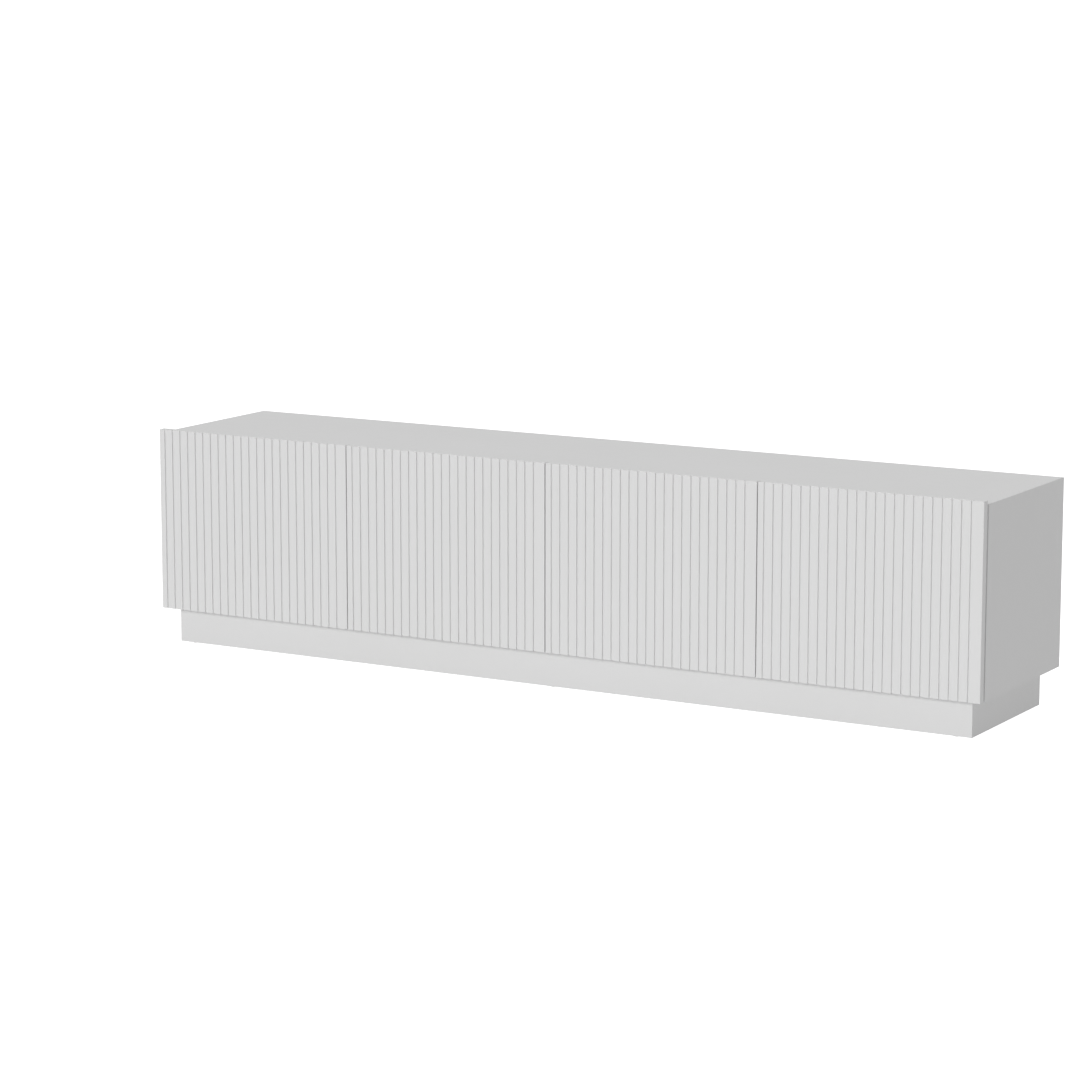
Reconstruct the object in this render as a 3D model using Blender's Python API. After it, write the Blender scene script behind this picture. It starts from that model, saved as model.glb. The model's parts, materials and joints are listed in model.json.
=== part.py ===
"""TV bench: a long low cabinet on a set-back plinth, with four fluted doors on concealed cup hinges.

Metres, +Z up. X runs along the bench and the doors face -Y. The origin is on the floor, under the
middle of the whole bench. The doors have no handles: they stand a little above the top, and are
pulled open by that edge.
"""

import math

import bmesh
import bpy
from mathutils import Matrix, Vector

# The whole bench
WIDTH = 2.000
DEPTH = 0.415
PLINTH_HEIGHT = 0.080
TOP_HEIGHT = 0.480
BOARD = 0.018
FIT_GAP = 0.0003

# Doors: edges and reveals
DOOR_COUNT = 4
DOOR_THICKNESS = 0.018
DOOR_GAP = 0.002
DOOR_SIDE_REVEAL = 0.0015
DOOR_ABOVE_TOP = 0.008
DOOR_TO_CABINET = 0.002
DOOR_FRONT_RADIUS = 0.0012
DOOR_BACK_RADIUS = 0.001

# Flutes: straight grooves cut into each door's face
GROOVE_COUNT = 23
GROOVE_PITCH = 0.02073
FIRST_GROOVE = 0.0165
GROOVE_WIDTH = 0.006
GROOVE_DEPTH = 0.0027

# Plinth
PLINTH_INSET = 0.030
GLIDE_HEIGHT = 0.0007
GLIDE_RADIUS = 0.008

# Back panels and their cable holes
BACK_THICKNESS = 0.008
BACK_RECESS = 0.010
CABLE_HOLE_RADIUS = 0.030
CABLE_HOLE_HEIGHT = 0.160

# Shelves, the pins they rest on, and the rows of holes for the pins
SHELF_UNDERSIDE = 0.270
SHELF_END_GAP = 0.0022
SHELF_FRONT_SETBACK = 0.020
PIN_RADIUS = 0.0025
PIN_IN_BOARD = 0.008
PIN_OUT = 0.009
PIN_COLLAR_RADIUS = 0.004
PIN_COLLAR_LENGTH = 0.0015
PIN_HOLE_RADIUS = 0.0028
PIN_HOLE_DEPTH = 0.010
PIN_ROW_PITCH = 0.032
PIN_ROWS = (-1, 0, 1)
PIN_FROM_FRONT = 0.060
PIN_FROM_BACK = 0.050

# Hinges, in the plane of the door's end. X runs towards the door's hinged edge, which is at 0, and
# Y into the cabinet, with the door's back at 0.
HINGE_FROM_BOARD = 0.055
DOOR_AXIS = Vector((-0.0075, -0.0136))
LINK_PIVOT = Vector((-0.0310, 0.0025))
LINK_KNEES = (Vector((-0.0262, -0.0095)), Vector((-0.0144, -0.0097)))
LINK_TIP = Vector((-0.0084, -0.0060))
LINK_HALF_THICKNESS = 0.00075
LINK_HALF_WIDTH = 0.005
LINK_EYE_RADIUS = 0.0023
LINK_TIP_RADIUS = 0.00125
LINK_BORE_RADIUS = 0.0013
LINK_PIN_RADIUS = 0.001
CUP_CENTRE = -0.021
CUP_BORE_RADIUS = 0.0175
CUP_RADIUS = 0.0172
CUP_INNER_RADIUS = 0.0164
CUP_BORE_DEPTH = 0.0122
CUP_DEPTH = 0.0119
CUP_INNER_DEPTH = 0.0113
FLANGE_RADIUS = 0.0182
FLANGE_TOP = 0.0010
FLANGE_SCREW = (-0.0305, 0.024)
FLANGE_BAR_REACH = 0.0055
FLANGE_BAR_CORNER = 0.004
FLANGE_BAR_STEP = 0.0001
SCREW_RADIUS = 0.0036
SCREW_SUNK = 0.0004
SCREW_PROUD = 0.0009
CHEEK_INNER = 0.0065
CHEEK_OUTER = 0.0080
ARM_END = 0.062
ARM_FACE = -0.0340
ARM_NECK = (0.010, 0.018)
ARM_OVERLAP = 0.004
ARM_SCREWS = (0.035, 0.053)
ARM_SCREW_REACH = 0.003
WEB_START = 0.007
PLATE_FACE = -0.0270
PLATE_HALF_WIDTH = 0.0061
PLATE_SPAN = (0.026, 0.060)
PLATE_SCREW_LINE = 0.039
PLATE_SCREW_SPREAD = 0.016
WING_HALF_WIDTH = 0.006
WING_REACH = 0.024
WING_THICKNESS = 0.002
CHEEK_NOSE = 0.0027
WEB_THICKNESS = 0.0015
SHAPE_STEP = 0.0004
LINK_SIDE_STEP = 0.0002

# Soft bumpers on the doors' backs, in line with the front edge of the top
BUMPER_FROM_EDGE = 0.012
BUMPER_RADIUS = 0.0045
BUMPER_CHAMFER = 0.0005

# How finely round shapes are turned, and the angle over which an edge stays sharp
ROUND_SIDES = 24
SMALL_SIDES = 8
TURNED_SIDES = 12
SHARP_ANGLE = math.radians(35)

# Worked out from the above
BACK = DEPTH / 2
FRONT = BACK - (DEPTH - DOOR_THICKNESS - DOOR_TO_CABINET)
DOOR_BACK = -DEPTH / 2 + DOOR_THICKNESS
DOOR_WIDTH = (WIDTH - 2 * DOOR_SIDE_REVEAL - (DOOR_COUNT - 1) * DOOR_GAP) / DOOR_COUNT
DOOR_LOW = PLINTH_HEIGHT
DOOR_HIGH = TOP_HEIGHT + DOOR_ABOVE_TOP
FLOOR_TOP = PLINTH_HEIGHT + BOARD
CEILING = TOP_HEIGHT - BOARD
SIDE_FACE = WIDTH / 2 - BOARD
BACK_FACE = BACK - BACK_RECESS - BACK_THICKNESS
PIN_HEIGHT = SHELF_UNDERSIDE - PIN_RADIUS - FIT_GAP
HINGE_HEIGHTS = (FLOOR_TOP + HINGE_FROM_BOARD, CEILING - HINGE_FROM_BOARD)


def clear_scene():
    for old in list(bpy.data.objects):
        bpy.data.objects.remove(old, do_unlink=True)


def make_material(name, colour, roughness, metallic=0.0):
    material = bpy.data.materials.new(name)
    material.use_nodes = True
    shader = material.node_tree.nodes["Principled BSDF"]
    shader.inputs["Base Color"].default_value = (*colour, 1.0)
    shader.inputs["Roughness"].default_value = roughness
    shader.inputs["Metallic"].default_value = metallic
    material.diffuse_color = (*colour, 1.0)
    return material


def add_object(name, mesh, material=None, location=(0, 0, 0), parent=None, turned_over=False):
    """An object in the scene; turned_over spins it half a turn about Y, for a hinge on the other side."""
    item = bpy.data.objects.new(name, mesh)
    bpy.context.collection.objects.link(item)
    if material:
        item.data.materials.clear()
        item.data.materials.append(material)
    item.location = location
    item.rotation_euler = (0, math.pi if turned_over else 0, 0)
    item.parent = parent
    return item


def finished_mesh(build, smooth=False):
    build.normal_update()
    bmesh.ops.recalc_face_normals(build, faces=build.faces)
    mesh = bpy.data.meshes.new("shape")
    build.to_mesh(mesh)
    build.free()
    if smooth:
        mesh.shade_smooth()
        mesh.set_sharp_from_angle(angle=SHARP_ANGLE)
    return mesh


def prism(outline, start, end, along="Z"):
    """A closed outline drawn out straight. The outline holds (X, Y) points along Z, (X, Z) along Y."""
    build = bmesh.new()
    corners = [build.verts.new((a, b, start)) for a, b in outline]
    base = build.faces.new(corners)
    drawn = bmesh.ops.extrude_face_region(build, geom=[base])["geom"]
    far = [item for item in drawn if isinstance(item, bmesh.types.BMVert)]
    bmesh.ops.translate(build, verts=far, vec=(0, 0, end - start))
    if along == "Y":
        for corner in build.verts:
            corner.co = corner.co.xzy
    return finished_mesh(build)


def lathe(profile, sides, along="Z"):
    """(radius, height) points turned about an axis; the first and the last point lie on it."""
    build = bmesh.new()
    corners = [build.verts.new((radius, 0, height)) for radius, height in profile]
    edges = [build.edges.new(pair) for pair in zip(corners, corners[1:])]
    bmesh.ops.spin(build, geom=corners + edges, cent=(0, 0, 0), axis=(0, 0, 1),
                   angle=math.tau, steps=sides, use_merge=True)
    bmesh.ops.remove_doubles(build, verts=build.verts, dist=1e-6)
    if along == "Y":
        build.transform(Matrix.Rotation(-math.pi / 2, 4, "X"))
    if along == "X":
        build.transform(Matrix.Rotation(math.pi / 2, 4, "Y"))
    return finished_mesh(build, smooth=True)


def rod(radius, start, end, sides, along="Z"):
    return lathe([(0, start), (radius, start), (radius, end), (0, end)], sides, along)


def moved(mesh, x=0.0, y=0.0, z=0.0):
    mesh.transform(Matrix.Translation((x, y, z)))
    return mesh


def arc(centre, radius, start, end, steps):
    """Points on a circle, angles in degrees, both ends included."""
    angles = [math.radians(start + (end - start) * step / steps) for step in range(steps + 1)]
    return [(centre[0] + radius * math.cos(a), centre[1] + radius * math.sin(a)) for a in angles]


def rectangle(low, high):
    return [(low[0], low[1]), (high[0], low[1]), (high[0], high[1]), (low[0], high[1])]


def rounded_rectangle(low, high, radius, steps=3):
    outline = arc((low[0] + radius, low[1] + radius), radius, 180, 270, steps)
    outline += arc((high[0] - radius, low[1] + radius), radius, 270, 360, steps)
    outline += arc((high[0] - radius, high[1] - radius), radius, 0, 90, steps)
    outline += arc((low[0] + radius, high[1] - radius), radius, 90, 180, steps)
    return outline


def add_cutter(name, mesh, location=(0, 0, 0)):
    cutter = add_object(name, mesh, location=location)
    cutter.hide_render = True
    cutter.display_type = "WIRE"
    return cutter


def add_boolean(target, tool, operation):
    change = target.modifiers.new(operation.lower(), "BOOLEAN")
    change.operation = operation
    change.solver = "EXACT"
    change.object = tool


def combined(first, others, operation):
    """One mesh made of the first, with each of the others joined to it or cut from it."""
    target = add_object("work", first)
    tools = [add_cutter("tool", other) for other in others]
    for tool in tools:
        add_boolean(target, tool, operation)
    bpy.context.view_layer.update()
    graph = bpy.context.evaluated_depsgraph_get()
    result = bpy.data.meshes.new_from_object(target.evaluated_get(graph))
    for temporary in [target, *tools]:
        bpy.data.objects.remove(temporary, do_unlink=True)
    result.shade_smooth()
    result.set_sharp_from_angle(angle=SHARP_ANGLE)
    return result


def add_board(name, low, high, material):
    """A flat board between two opposite corners, with its origin at its middle."""
    middle = (Vector(low) + Vector(high)) / 2
    half = (Vector(high) - Vector(low)) / 2
    mesh = prism(rectangle((-half.x, -half.y), (half.x, half.y)), -half.z, half.z)
    return add_object(name, mesh, material, middle)


def pin_columns():
    return (FRONT + PIN_FROM_FRONT, BACK_FACE - PIN_FROM_BACK)


def add_pin_holes(board, name, face, into):
    """Blind holes for shelf pins in a board's face at X = face; into is +1 or -1, the way they go."""
    ends = sorted((face - into * PIN_HOLE_RADIUS, face + into * PIN_HOLE_DEPTH))
    for column, y in enumerate(pin_columns(), 1):
        for row in PIN_ROWS:
            drill = moved(rod(PIN_HOLE_RADIUS, ends[0], ends[1], SMALL_SIDES, "X"), y=y,
                          z=PIN_HEIGHT + row * PIN_ROW_PITCH)
            add_boolean(board, add_cutter(f"{name}_drill_{column}_{row}", drill), "DIFFERENCE")


def add_carcass(lacquer, melamine, back_board):
    """The box: top mitred to the sides, bottom between them, a centre divider and two back panels."""
    edge = WIDTH / 2
    mitre = FIT_GAP
    top = [(-edge + mitre, TOP_HEIGHT), (-SIDE_FACE + mitre, CEILING),
           (SIDE_FACE - mitre, CEILING), (edge - mitre, TOP_HEIGHT)]
    add_object("top_panel", prism(top, FRONT, BACK, "Y"), lacquer)
    for name, side in (("left_side_panel", -1), ("right_side_panel", 1)):
        outline = [(side * edge, PLINTH_HEIGHT), (side * SIDE_FACE, PLINTH_HEIGHT),
                   (side * SIDE_FACE, CEILING - mitre), (side * edge, TOP_HEIGHT - mitre)]
        panel = add_object(name, prism(outline, FRONT, BACK, "Y"), lacquer)
        add_pin_holes(panel, name, side * SIDE_FACE, side)
    inner = SIDE_FACE - FIT_GAP
    add_board("bottom_panel", (-inner, FRONT, PLINTH_HEIGHT), (inner, BACK, FLOOR_TOP), melamine)
    divider = add_board("centre_divider", (-BOARD / 2, FRONT, FLOOR_TOP + FIT_GAP),
                        (BOARD / 2, BACK, CEILING - FIT_GAP), melamine)
    add_pin_holes(divider, "divider_left", -BOARD / 2, 1)
    add_pin_holes(divider, "divider_right", BOARD / 2, -1)
    middle = (SIDE_FACE + BOARD / 2) / 2
    half = (SIDE_FACE - BOARD / 2) / 2 - FIT_GAP
    for name, side in (("back_panel_left", -1), ("back_panel_right", 1)):
        panel = add_board(name, (side * middle - half, BACK_FACE, FLOOR_TOP + FIT_GAP),
                          (side * middle + half, BACK_FACE + BACK_THICKNESS, CEILING - FIT_GAP),
                          back_board)
        drill = rod(CABLE_HOLE_RADIUS, BACK_FACE - BOARD, BACK + BOARD, ROUND_SIDES, "Y")
        cutter = add_cutter(f"{name}_drill", drill, (side * middle, 0, CABLE_HOLE_HEIGHT))
        add_boolean(panel, cutter, "DIFFERENCE")


def add_shelves(melamine, steel):
    """A shelf in each compartment, on four pins that stand in the sides and the divider."""
    profile = [(0, -PIN_IN_BOARD), (PIN_RADIUS, -PIN_IN_BOARD), (PIN_RADIUS, FIT_GAP),
               (PIN_COLLAR_RADIUS, FIT_GAP), (PIN_COLLAR_RADIUS, FIT_GAP + PIN_COLLAR_LENGTH),
               (PIN_RADIUS, FIT_GAP + PIN_COLLAR_LENGTH), (PIN_RADIUS, PIN_OUT), (0, PIN_OUT)]
    pin = lathe(profile, SMALL_SIDES, "X")
    for name, side in (("left", -1), ("right", 1)):
        walls = sorted((side * SIDE_FACE, side * BOARD / 2))
        add_board(f"shelf_{name}",
                  (walls[0] + SHELF_END_GAP, FRONT + SHELF_FRONT_SETBACK, SHELF_UNDERSIDE),
                  (walls[1] - SHELF_END_GAP, BACK_FACE - SHELF_END_GAP, SHELF_UNDERSIDE + BOARD),
                  melamine)
        places = [(wall, y) for wall in walls for y in pin_columns()]
        for number, (wall, y) in enumerate(places, 1):
            add_object(f"shelf_pin_{name}_{number}", pin, steel, (wall, y, PIN_HEIGHT),
                       turned_over=wall == walls[1])


def add_plinth(lacquer, plastic):
    """Four mitred boards set back from every side, a cross rail, and glides under them."""
    low = GLIDE_HEIGHT + FIT_GAP
    high = PLINTH_HEIGHT - FIT_GAP
    x = WIDTH / 2 - PLINTH_INSET
    y = DEPTH / 2 - PLINTH_INSET
    trim = FIT_GAP
    for name, side in (("plinth_front", -1), ("plinth_back", 1)):
        outline = [(-x + trim, side * y), (x - trim, side * y),
                   (x - BOARD - trim, side * (y - BOARD)), (-x + BOARD + trim, side * (y - BOARD))]
        add_object(name, prism(outline, low, high), lacquer)
    for name, side in (("plinth_left", -1), ("plinth_right", 1)):
        outline = [(side * x, -y + trim), (side * x, y - trim),
                   (side * (x - BOARD), y - BOARD - trim), (side * (x - BOARD), -y + BOARD + trim)]
        add_object(name, prism(outline, low, high), lacquer)
    inner = y - BOARD - FIT_GAP
    add_board("plinth_centre_rail", (-BOARD / 2, -inner, low), (BOARD / 2, inner, high), lacquer)
    chamfer = GLIDE_HEIGHT / 3
    glide = lathe([(0, 0), (GLIDE_RADIUS - chamfer, 0), (GLIDE_RADIUS, chamfer),
                   (GLIDE_RADIUS, GLIDE_HEIGHT), (0, GLIDE_HEIGHT)], TURNED_SIDES)
    for row, line in (("front", -1), ("back", 1)):
        for column, place in (("left", -1), ("middle", 0), ("right", 1)):
            add_object(f"glide_{row}_{column}", glide, plastic,
                       (place * (x - 2 * BOARD), line * (y - BOARD / 2), 0))


def door_outline():
    """A door's end from its left edge at 0: back at Y = 0, fluted face at Y = -DOOR_THICKNESS."""
    front = DOOR_FRONT_RADIUS
    back = DOOR_BACK_RADIUS
    face = -DOOR_THICKNESS
    outline = arc((back, -back), back, 90, 180, 2)
    outline += arc((front, face + front), front, 180, 270, 3)
    for number in range(GROOVE_COUNT):
        left = FIRST_GROOVE + number * GROOVE_PITCH - GROOVE_WIDTH / 2
        right = left + GROOVE_WIDTH
        bed = face + GROOVE_DEPTH
        outline += [(left, face), (left, bed), (right, bed), (right, face)]
    outline += arc((DOOR_WIDTH - front, face + front), front, 270, 360, 3)
    outline += arc((DOOR_WIDTH - back, -back), back, 0, 90, 2)
    return outline


def cup_mesh():
    """A pressed steel cup with its round flange and the bar that takes its two screws."""
    shell = lathe([(0, -CUP_DEPTH), (CUP_RADIUS, -CUP_DEPTH), (CUP_RADIUS, FIT_GAP),
                   (FLANGE_RADIUS, FIT_GAP), (FLANGE_RADIUS, FLANGE_TOP),
                   (CUP_INNER_RADIUS, FLANGE_TOP), (CUP_INNER_RADIUS, -CUP_INNER_DEPTH),
                   (0, -CUP_INNER_DEPTH)], ROUND_SIDES, "Y")
    bar_x, bar_z = FLANGE_SCREW
    reach = FLANGE_BAR_REACH
    outline = rounded_rectangle((bar_x - reach, -bar_z - reach), (bar_x + reach, bar_z + reach),
                                FLANGE_BAR_CORNER)
    bar = prism(outline, FIT_GAP + FLANGE_BAR_STEP, FLANGE_TOP - FLANGE_BAR_STEP, "Y")
    head = (FLANGE_TOP - SCREW_SUNK, FLANGE_TOP + SCREW_PROUD)
    heads = [moved(rod(SCREW_RADIUS, *head, SMALL_SIDES, "Y"), x=bar_x, z=side * bar_z)
             for side in (-1, 1)]
    whole = combined(moved(shell, x=CUP_CENTRE), [bar, *heads], "UNION")
    mouth = rod(CUP_INNER_RADIUS, -CUP_INNER_DEPTH, 2 * FLANGE_TOP, ROUND_SIDES, "Y")
    return combined(whole, [moved(mouth, x=CUP_CENTRE)], "DIFFERENCE")


def arm_mesh(wall):
    """A hinge arm and its mounting plate, which is fixed to a board whose face is at X = wall."""
    x, y = LINK_PIVOT
    step = SHAPE_STEP
    skirt = PLATE_FACE + ARM_OVERLAP
    side = arc((x, y), CHEEK_NOSE, 180, 360, 4)
    side += [(x + CHEEK_NOSE, ARM_NECK[0]), (skirt, ARM_NECK[1]), (skirt, ARM_END),
             (x - CHEEK_NOSE, ARM_END)]
    cheeks = [prism(side, -CHEEK_OUTER, -CHEEK_INNER), prism(side, CHEEK_INNER, CHEEK_OUTER)]
    web = prism(rectangle((ARM_FACE, WEB_START), (ARM_FACE + WEB_THICKNESS, ARM_END - step)),
                step - CHEEK_OUTER, CHEEK_OUTER - step)
    pin = moved(rod(LINK_PIN_RADIUS, -CHEEK_OUTER - step, CHEEK_OUTER + step, SMALL_SIDES), x=x, y=y)
    seat = wall - FIT_GAP
    block = prism(rectangle((PLATE_FACE, PLATE_SPAN[0]), (seat - step, PLATE_SPAN[1])),
                  -PLATE_HALF_WIDTH, PLATE_HALF_WIDTH)
    wings = prism(rectangle((seat - WING_THICKNESS, PLATE_SCREW_LINE - WING_HALF_WIDTH),
                            (seat, PLATE_SCREW_LINE + WING_HALF_WIDTH)), -WING_REACH, WING_REACH)
    parts = [*cheeks, pin, block, wings]
    for place in ARM_SCREWS:
        screw = rod(SCREW_RADIUS, ARM_FACE - 2 * step, PLATE_FACE + ARM_SCREW_REACH, SMALL_SIDES, "X")
        parts.append(moved(screw, y=place))
    for height in (-PLATE_SCREW_SPREAD, PLATE_SCREW_SPREAD):
        head = rod(SCREW_RADIUS, seat - WING_THICKNESS - 3 * step, seat - WING_THICKNESS / 2,
                   SMALL_SIDES, "X")
        parts.append(moved(head, y=PLATE_SCREW_LINE, z=height))
    return combined(web, parts, "UNION")


def strip_outline(path, half):
    """The outline of a strip of even thickness along a bent path, with mitred corners."""
    left = []
    right = []
    for index, point in enumerate(path):
        before = (point - path[index - 1]).normalized() if index else (path[1] - point).normalized()
        after = (path[index + 1] - point).normalized() if index + 1 < len(path) else before
        across = (before + after).normalized().orthogonal()
        reach = half / across.dot(before.orthogonal())
        left.append(tuple(point + reach * across))
        right.append(tuple(point - reach * across))
    return left + right[::-1]


def link_mesh():
    """The bent link between arm and cup, about its pivot: an eye on the arm's pin, a rolled end."""
    path = [point - LINK_PIVOT for point in (LINK_PIVOT, *LINK_KNEES, LINK_TIP)]
    side = LINK_HALF_WIDTH - LINK_SIDE_STEP
    strip = prism(strip_outline(path, LINK_HALF_THICKNESS), -side, side)
    eye = rod(LINK_EYE_RADIUS, -LINK_HALF_WIDTH, LINK_HALF_WIDTH, TURNED_SIDES)
    tip = rod(LINK_TIP_RADIUS, -LINK_HALF_WIDTH, LINK_HALF_WIDTH, SMALL_SIDES)
    tip = moved(tip, x=path[-1].x, y=path[-1].y)
    whole = combined(strip, [eye, tip], "UNION")
    bore = rod(LINK_BORE_RADIUS, -2 * LINK_HALF_WIDTH, 2 * LINK_HALF_WIDTH, SMALL_SIDES)
    return combined(whole, [bore], "DIFFERENCE")


def add_door(number, lacquer, steel, rubber, meshes):
    """One door with its cups and bumper, and the links and arms that carry it."""
    left = -WIDTH / 2 + DOOR_SIDE_REVEAL + (number - 1) * (DOOR_WIDTH + DOOR_GAP)
    hinged_right = number % 2 == 0
    edge = left + DOOR_WIDTH if hinged_right else left
    way = 1 if hinged_right else -1
    axis = Vector((edge + way * DOOR_AXIS.x, DOOR_BACK + DOOR_AXIS.y, 0))
    board = moved(prism(door_outline(), DOOR_LOW, DOOR_HIGH), left - axis.x, DOOR_BACK - axis.y)
    door = add_object(f"door_{number}", board, lacquer, axis)
    at_side = number in (1, DOOR_COUNT)
    for height, level in zip(HINGE_HEIGHTS, ("low", "high")):
        origin = Vector((edge, DOOR_BACK, height))
        drill = rod(CUP_BORE_RADIUS, -CUP_BORE_DEPTH, BOARD, ROUND_SIDES, "Y")
        place = origin + Vector((way * CUP_CENTRE, 0, 0))
        add_boolean(door, add_cutter(f"door_{number}_{level}_drill", drill, place), "DIFFERENCE")
        add_object(f"hinge_cup_{number}_{level}", meshes["cup"], steel, origin - axis, door,
                   not hinged_right)
        add_object(f"hinge_arm_{number}_{level}", meshes["side_arm" if at_side else "divider_arm"],
                   steel, origin, turned_over=not hinged_right)
        pivot = origin + Vector((way * LINK_PIVOT.x, LINK_PIVOT.y, 0))
        add_object(f"hinge_link_{number}_{level}", meshes["link"], steel, pivot,
                   turned_over=not hinged_right)
    free_edge = left if hinged_right else left + DOOR_WIDTH
    place = Vector((free_edge + way * BUMPER_FROM_EDGE, DOOR_BACK, TOP_HEIGHT - BOARD / 2))
    add_object(f"door_bumper_{number}", meshes["bumper"], rubber, place - axis, door)


def bumper_mesh():
    end = DOOR_TO_CABINET - FIT_GAP
    return lathe([(0, FIT_GAP), (BUMPER_RADIUS, FIT_GAP), (BUMPER_RADIUS, end - BUMPER_CHAMFER),
                  (BUMPER_RADIUS - BUMPER_CHAMFER, end), (0, end)], TURNED_SIDES, "Y")


def main():
    clear_scene()
    lacquer = make_material("white_lacquer", (0.80, 0.80, 0.80), 0.45)
    melamine = make_material("white_melamine", (0.78, 0.78, 0.78), 0.5)
    back_board = make_material("back_board", (0.76, 0.76, 0.76), 0.6)
    steel = make_material("nickel_steel", (0.62, 0.61, 0.59), 0.3, 1.0)
    plastic = make_material("glide_plastic", (0.55, 0.55, 0.55), 0.5)
    rubber = make_material("clear_rubber", (0.72, 0.72, 0.72), 0.4)
    add_carcass(lacquer, melamine, back_board)
    add_shelves(melamine, steel)
    add_plinth(lacquer, plastic)
    side_wall = DOOR_SIDE_REVEAL - BOARD
    divider_wall = (DOOR_GAP - BOARD) / 2
    meshes = {
        "cup": cup_mesh(),
        "side_arm": arm_mesh(side_wall),
        "divider_arm": arm_mesh(divider_wall),
        "link": link_mesh(),
        "bumper": bumper_mesh(),
    }
    for number in range(1, DOOR_COUNT + 1):
        add_door(number, lacquer, steel, rubber, meshes)


main()
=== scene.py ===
"""TV bench with fluted doors: its fine meshes, materials, studio and camera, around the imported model.

Metres, +Z up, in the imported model's frame: X along the bench, the doors facing -Y, the floor at 0.
"""

import json
import math

import bmesh
import bpy
from mathutils import Matrix, Vector


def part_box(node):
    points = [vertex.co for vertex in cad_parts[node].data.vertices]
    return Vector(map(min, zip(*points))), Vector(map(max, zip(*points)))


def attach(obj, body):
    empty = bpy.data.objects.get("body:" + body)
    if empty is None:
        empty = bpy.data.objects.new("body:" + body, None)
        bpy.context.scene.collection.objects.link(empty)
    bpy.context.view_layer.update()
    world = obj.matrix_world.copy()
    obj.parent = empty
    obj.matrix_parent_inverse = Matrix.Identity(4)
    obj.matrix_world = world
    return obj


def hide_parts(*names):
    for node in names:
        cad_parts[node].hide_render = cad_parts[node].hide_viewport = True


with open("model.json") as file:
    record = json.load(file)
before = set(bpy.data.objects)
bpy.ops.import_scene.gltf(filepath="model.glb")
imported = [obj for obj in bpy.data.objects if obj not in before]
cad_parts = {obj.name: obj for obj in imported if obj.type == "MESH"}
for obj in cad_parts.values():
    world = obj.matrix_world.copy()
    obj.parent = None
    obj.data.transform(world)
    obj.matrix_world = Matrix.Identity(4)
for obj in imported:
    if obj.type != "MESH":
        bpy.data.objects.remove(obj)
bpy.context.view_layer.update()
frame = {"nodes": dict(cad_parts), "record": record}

# Camera: where it stands, and its lens on a 36 mm sensor
CAMERA_PLACE = (3.7041, -6.6377, 1.6304)
CAMERA_TILT = 80.011
CAMERA_TURN = 30.023
CAMERA_LENS = 118.8

# Boards
BOARD = 0.018
BOARD_EDGE = 0.0005
MITRE_EDGE = 0.0002
MITRE_OPENING = 0.00005
FIT_GAP = 0.0003

# Doors: grooves milled in the face, and how far the edges are rounded
GROOVE_COUNT = 23
GROOVE_PITCH = 0.02073
FIRST_GROOVE = 0.0165
GROOVE_WIDTH = 0.006
GROOVE_DEPTH = 0.0027
GROOVE_LIP_RADIUS = 0.0006
GROOVE_BED_RADIUS = 0.0013
DOOR_FRONT_RADIUS = 0.0012
DOOR_BACK_RADIUS = 0.001
DOOR_END_EDGE = 0.0004

# Cable holes in the back panels
CABLE_HOLE_RADIUS = 0.030

# Shelf-pin holes, in rows at, over and under the height of the pins that are in use
PIN_HOLE_RADIUS = 0.0028
PIN_HOLE_DEPTH = 0.010
PIN_ROW_PITCH = 0.032
PIN_ROWS = (-1, 0, 1)
HOLE_CHAMFER = 0.0003

# Shelf pins: the shank in the board, the collar against it, and the rounding of their rims
PIN_RADIUS = 0.0025
PIN_IN_BOARD = 0.008
PIN_END_RADIUS = 0.0005
PIN_COLLAR_RADIUS = 0.004
PIN_COLLAR_LENGTH = 0.0015
PIN_COLLAR_EDGE = 0.0003

# Bumpers: how far their domes are rounded, and how far round the arc goes before the flat crown
BUMPER_SHOULDER = 0.0011
BUMPER_SHOULDER_TURN = 75

# Hinges, in the plane of the door's end. X runs towards the door's hinged edge, which is at 0, and
# Y into the cabinet, with the door's back at 0.
LINK_PIVOT = Vector((-0.0310, 0.0025))
LINK_KNEES = (Vector((-0.0262, -0.0095)), Vector((-0.0144, -0.0097)))
LINK_TIP = Vector((-0.0084, -0.0060))
LINK_BEND = 0.0025
LINK_HALF_THICKNESS = 0.0007
LINK_HALF_WIDTH = 0.005
LINK_EYE_RADIUS = 0.0023
LINK_TIP_RADIUS = 0.0012
LINK_BORE_RADIUS = 0.0013
LINK_PIN_RADIUS = 0.001
LINK_PIN_PROUD = 0.0004
STRIP_EDGE = 0.0002
CUP_CENTRE = -0.021
CUP_BORE_RADIUS = 0.0175
CUP_RADIUS = 0.0172
CUP_INNER_RADIUS = 0.0164
CUP_BORE_DEPTH = 0.0122
CUP_DEPTH = 0.0119
CUP_INNER_DEPTH = 0.0113
CUP_CORNER = 0.0016
FLANGE_RADIUS = 0.0182
FLANGE_TOP = 0.0010
FLANGE_SCREW = (-0.0305, 0.024)
FLANGE_BAR_REACH = 0.0055
FLANGE_BAR_CORNER = 0.004
FLANGE_BAR_STEP = 0.0001
SCREW_RADIUS = 0.0036
SCREW_HEIGHT = 0.0013
SCREW_RIM = 0.0004
SCREW_SUNK = 0.0004
CROSS_REACH = 0.0021
CROSS_HALF_WIDTH = 0.0004
CROSS_DEPTH = 0.0008
CHEEK_INNER = 0.0065
CHEEK_OUTER = 0.0080
CHEEK_NOSE = 0.0027
ARM_FACE = -0.0340
ARM_END = 0.062
ARM_NECK = (0.010, 0.018)
ARM_OVERLAP = 0.004
ARM_SCREWS = (0.035, 0.053)
ARM_SCREW_DEPTH = 0.0005
WEB_START = 0.007
WEB_THICKNESS = 0.0015
PLATE_FACE = -0.0270
PLATE_HALF_WIDTH = 0.0061
PLATE_SPAN = (0.026, 0.060)
PLATE_SCREW_LINE = 0.039
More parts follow.
